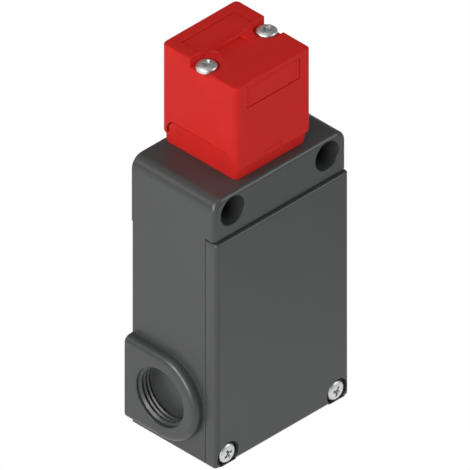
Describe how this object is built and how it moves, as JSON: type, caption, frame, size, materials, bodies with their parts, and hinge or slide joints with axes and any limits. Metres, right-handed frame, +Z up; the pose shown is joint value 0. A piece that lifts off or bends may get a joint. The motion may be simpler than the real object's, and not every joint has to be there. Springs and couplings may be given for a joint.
{
  "type": "tongue interlock switch",
  "caption": "Upright metal-housed safety switch with a red head whose two key entries are plugged, a cam drum, a plunger and a bridge contact block inside.",
  "frame": {"origin": "middle of the underside, on the plane that the switch can stand on", "axes": "+Z up from the conduit end to the head, +Y towards the mounting surface at the back, +X to the right as seen from the front"},
  "size_m": [0.0628, 0.0362, 0.1332],
  "materials": {
    "powder_coated_casting": "grey powder coat on die-cast metal, fine texture",
    "red_moulding": "red moulded plastic, satin gloss",
    "bright_steel": "zinc plated steel",
    "spring_steel": "bare spring wire",
    "black_seal": "moulded rubber",
    "pale_acetal": "natural acetal",
    "bush_bronze": "sintered bronze",
    "black_moulding": "glass-filled moulding, dark",
    "contact_brass": "punched sheet brass"
  },
  "bodies": {
    "switch_body": {"housing": "powder_coated_casting", "cover": "powder_coated_casting", "cover_gasket": "black_seal", "cover_screws": "bright_steel", "head_casing": "red_moulding", "head_base": "red_moulding", "head_o_ring": "black_seal", "head_screws": "bright_steel", "cam_axle": "bright_steel", "guide_bush": "bush_bronze", "plunger_seal": "black_seal", "seal_washer": "bright_steel", "contact_block_base": "black_moulding", "contact_block_lid": "pale_acetal", "nc_fixed_contacts": "contact_brass", "no_fixed_contacts": "contact_brass", "terminal_clamps": "bright_steel", "terminal_screws": "bright_steel", "block_screws": "bright_steel", "earth_clamp": "contact_brass", "earth_screw": "bright_steel"},
    "cam_drum": {"cam_core": "pale_acetal", "cam_discs": "bright_steel", "cam_pins": "bright_steel"},
    "plunger_group": {"plunger": "bright_steel", "plunger_clip": "bright_steel", "contact_carrier": "pale_acetal", "moving_contacts": "contact_brass", "contact_springs": "spring_steel", "return_spring": "spring_steel"},
    "front_plug": {"front_slot_plug": "red_moulding"},
    "top_plug": {"top_slot_plug": "red_moulding"}
  },
  "joints": [
    {"name": "cam_turn", "type": "hinge", "parent": "switch_body", "child": "cam_drum", "pos_m": [0, 0.00165, 0.118], "axis": [-1, 0, 0], "range_deg": [0, 60]},
    {"name": "plunger_lift", "type": "slide", "parent": "switch_body", "child": "plunger_group", "axis": [0, 0, 1], "range_m": [0, 0.003], "deforming": ["return_spring"]},
    {"name": "front_plug_pull", "type": "slide", "parent": "switch_body", "child": "front_plug", "axis": [0, -1, 0], "range_m": [0, 0.012]},
    {"name": "top_plug_pull", "type": "slide", "parent": "switch_body", "child": "top_plug", "axis": [0, 0, 1], "range_m": [0, 0.012]}
  ],
  "couplings": [
    {"joint": "plunger_lift", "follows": "cam_turn", "m_per_rad": 0.0028648}
  ]
}
